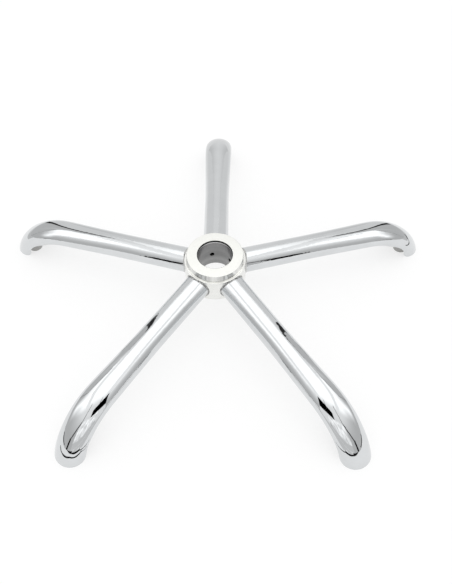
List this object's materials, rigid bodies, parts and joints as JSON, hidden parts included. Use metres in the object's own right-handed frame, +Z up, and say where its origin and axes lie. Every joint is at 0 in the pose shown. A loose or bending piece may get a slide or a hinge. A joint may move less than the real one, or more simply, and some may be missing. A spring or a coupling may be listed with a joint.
{
  "type": "office chair five star base",
  "caption": "Chromed steel five star chair base: a hub with a tapered bore, five bent tube legs and a stem socket under each tip.",
  "frame": {"origin": "centre of the tapered bore's mouth, in the hub's top face; the five tips stand on the plane 0.1 m below it", "axes": "+Z up along the hub's axis; +Y along leg_1; leg_2 to leg_5 follow every 72 degrees, anticlockwise from above"},
  "size_m": [0.6582, 0.6283, 0.1],
  "materials": {
    "hub_chrome": "polished plating",
    "leg_chrome": "polished plating",
    "socket_steel": "thinly plated",
    "weld_steel": "plated weld"
  },
  "bodies": {
    "root": {"hub": "hub_chrome", "leg_1": "leg_chrome", "caster_socket_1": "socket_steel", "hub_weld_1": "weld_steel", "socket_weld_1": "weld_steel", "leg_2": "leg_chrome", "caster_socket_2": "socket_steel", "hub_weld_2": "weld_steel", "socket_weld_2": "weld_steel", "leg_3": "leg_chrome", "caster_socket_3": "socket_steel", "hub_weld_3": "weld_steel", "socket_weld_3": "weld_steel", "leg_4": "leg_chrome", "caster_socket_4": "socket_steel", "hub_weld_4": "weld_steel", "socket_weld_4": "weld_steel", "leg_5": "leg_chrome", "caster_socket_5": "socket_steel", "hub_weld_5": "weld_steel", "socket_weld_5": "weld_steel"}
  },
  "joints": []
}
